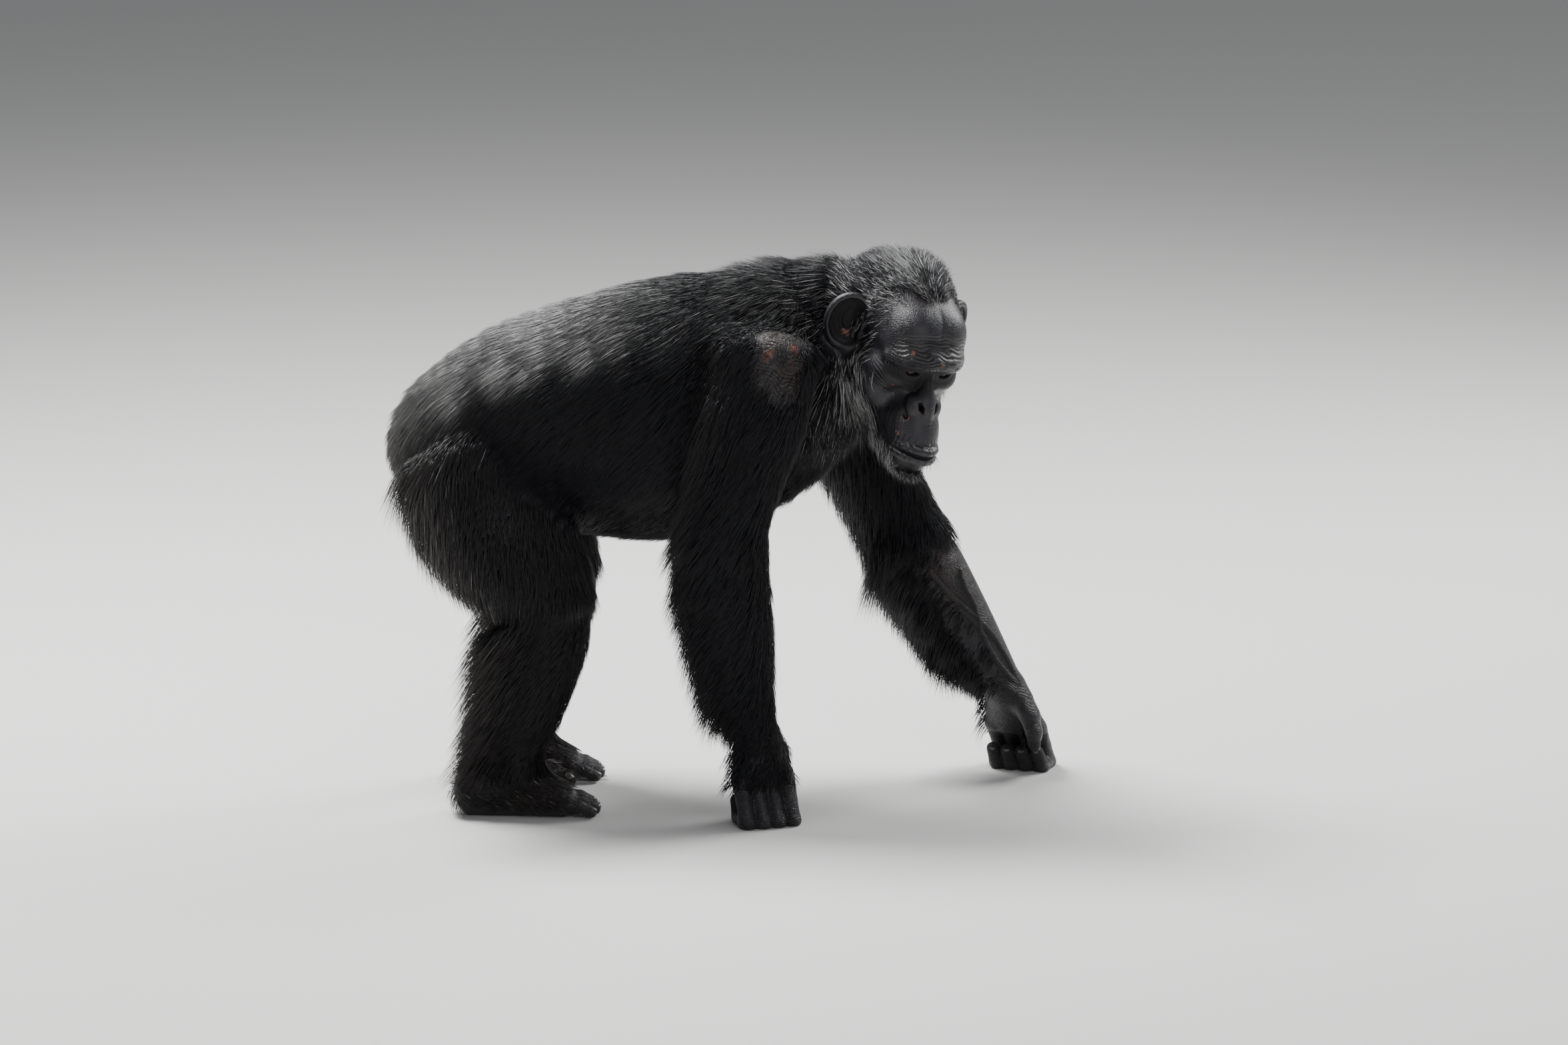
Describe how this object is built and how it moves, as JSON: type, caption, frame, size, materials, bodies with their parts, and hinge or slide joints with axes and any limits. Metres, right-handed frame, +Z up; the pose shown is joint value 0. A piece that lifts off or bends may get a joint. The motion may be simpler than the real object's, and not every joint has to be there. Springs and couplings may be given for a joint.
{
  "type": "chimpanzee",
  "caption": "Life-size still model of a chimpanzee walking on its soles and knuckles, back arched, face turned to its right and looking down.",
  "frame": {"origin": "middle of the model's length and width, on the floor it stands on", "axes": "+X the way it walks, +Y to its own left, +Z up"},
  "size_m": [0.9462, 0.432, 0.7769],
  "materials": {
    "coat": "long straight black hair with a low sheen, grey over the rump and on the chin",
    "skin": "bare dark grey skin, wrinkled, half matt",
    "eye": "wet gloss, dark brown"
  },
  "bodies": {
    "root": {"ear_right": "skin", "ear_left": "skin", "head": "coat", "hand_right": "skin", "hand_left": "skin", "forearm_right": "coat", "forearm_left": "coat", "foot_right": "skin", "lower_leg_right": "coat", "thigh_right": "coat", "foot_left": "skin", "lower_leg_left": "coat", "thigh_left": "coat", "upper_arm_right": "coat", "upper_arm_left": "coat", "neck": "coat", "chest": "coat", "belly": "coat", "rump": "coat", "eye_right": "eye", "eye_left": "eye"}
  },
  "joints": []
}
